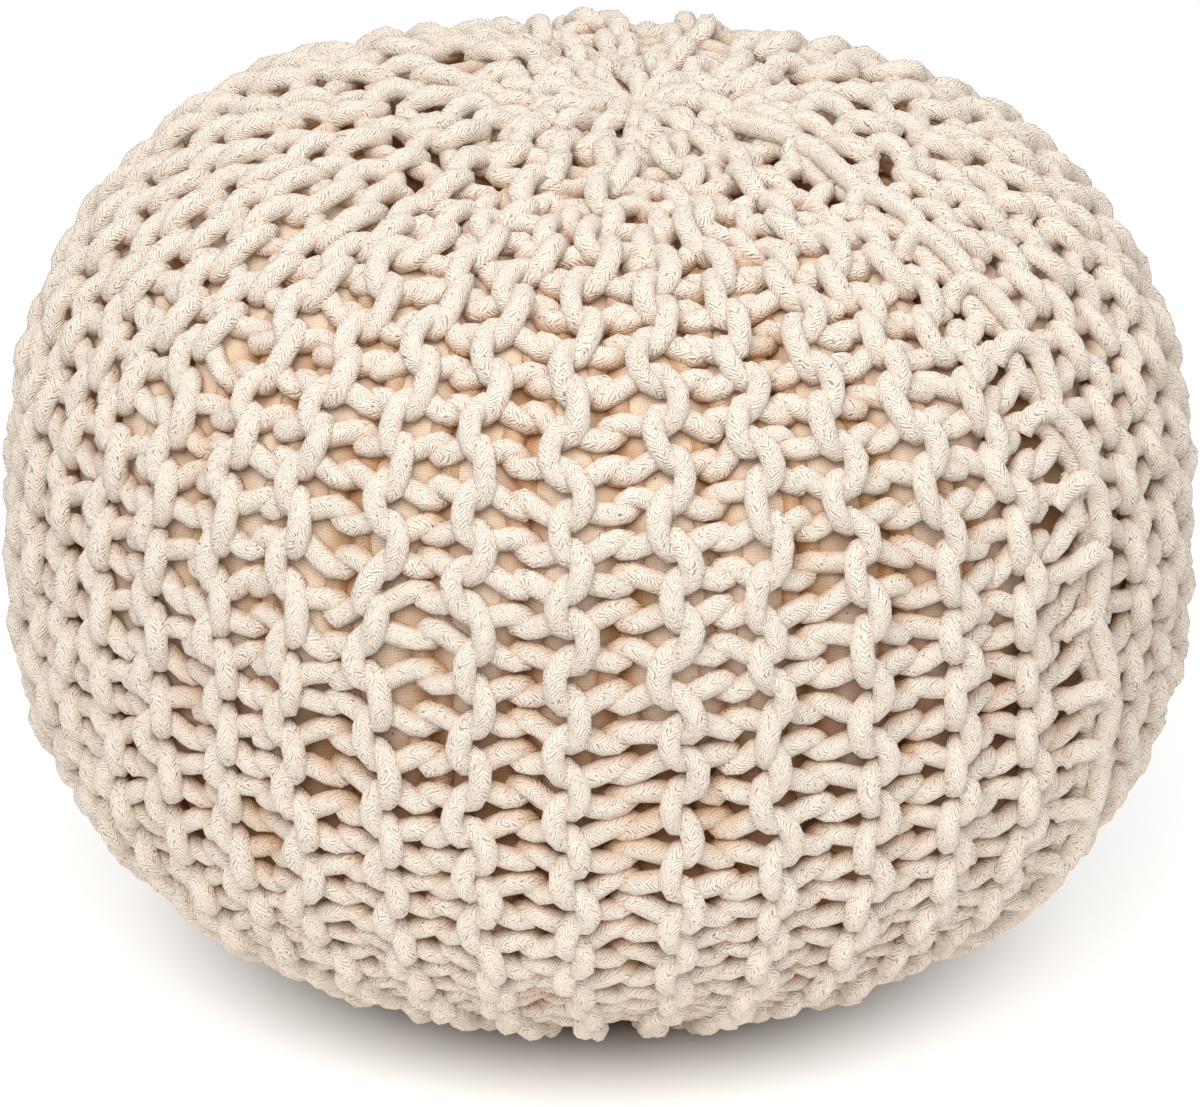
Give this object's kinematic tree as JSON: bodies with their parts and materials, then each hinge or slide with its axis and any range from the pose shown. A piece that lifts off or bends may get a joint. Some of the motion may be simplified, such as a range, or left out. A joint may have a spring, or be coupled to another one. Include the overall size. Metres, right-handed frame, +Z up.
{
  "type": "knitted pouf",
  "caption": "Round floor pouf: a filled canvas bag in a garter-stitch cover of thick cream cotton cord, gathered to a point at the top.",
  "frame": {"origin": "centre of the footprint, at floor level", "axes": "+Z up along the pouf's middle, from the flat underside to the gathered top; -Y is the front, with the seam round to the +X side of it"},
  "size_m": [0.4996, 0.4994, 0.3792],
  "materials": {
    "cotton_cord": "undyed braided cotton cord, matt and slightly fuzzy, with tiny dark flecks",
    "seam_cotton_cord": "undyed braided cotton cord, matt, as the cover",
    "canvas": "plain unbleached cotton canvas, matt"
  },
  "bodies": {
    "root": {"knitted_cover": "cotton_cord", "seam_cord": "seam_cotton_cord", "inner_liner": "canvas"}
  },
  "joints": []
}
